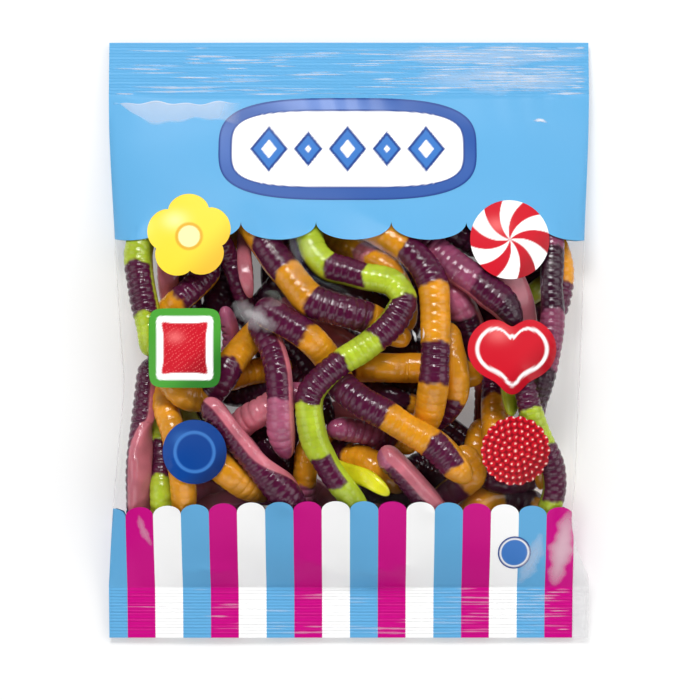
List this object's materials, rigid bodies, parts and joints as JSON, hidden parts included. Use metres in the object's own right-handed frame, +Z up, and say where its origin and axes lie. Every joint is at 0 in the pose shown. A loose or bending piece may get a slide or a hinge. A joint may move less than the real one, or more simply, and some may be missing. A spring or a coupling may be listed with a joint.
{
  "type": "bag of gummy snakes",
  "caption": "Sealed clear pillow bag filled with ribbed gummy snakes, with a blue scalloped header and striped foot, lying on its back.",
  "frame": {"origin": "on the surface the bag lies on, below the middle of its length and width", "axes": "+Y towards the top seal, +X to the right of the printed front, +Z up out of the printed front"},
  "size_m": [0.215, 0.267, 0.0471],
  "materials": {
    "printed_film": "glossy clear film, printed blue at the top and in blue, magenta and white stripes at the foot"
  },
  "bodies": {
    "root": {"bag": "printed_film"}
  },
  "joints": []
}
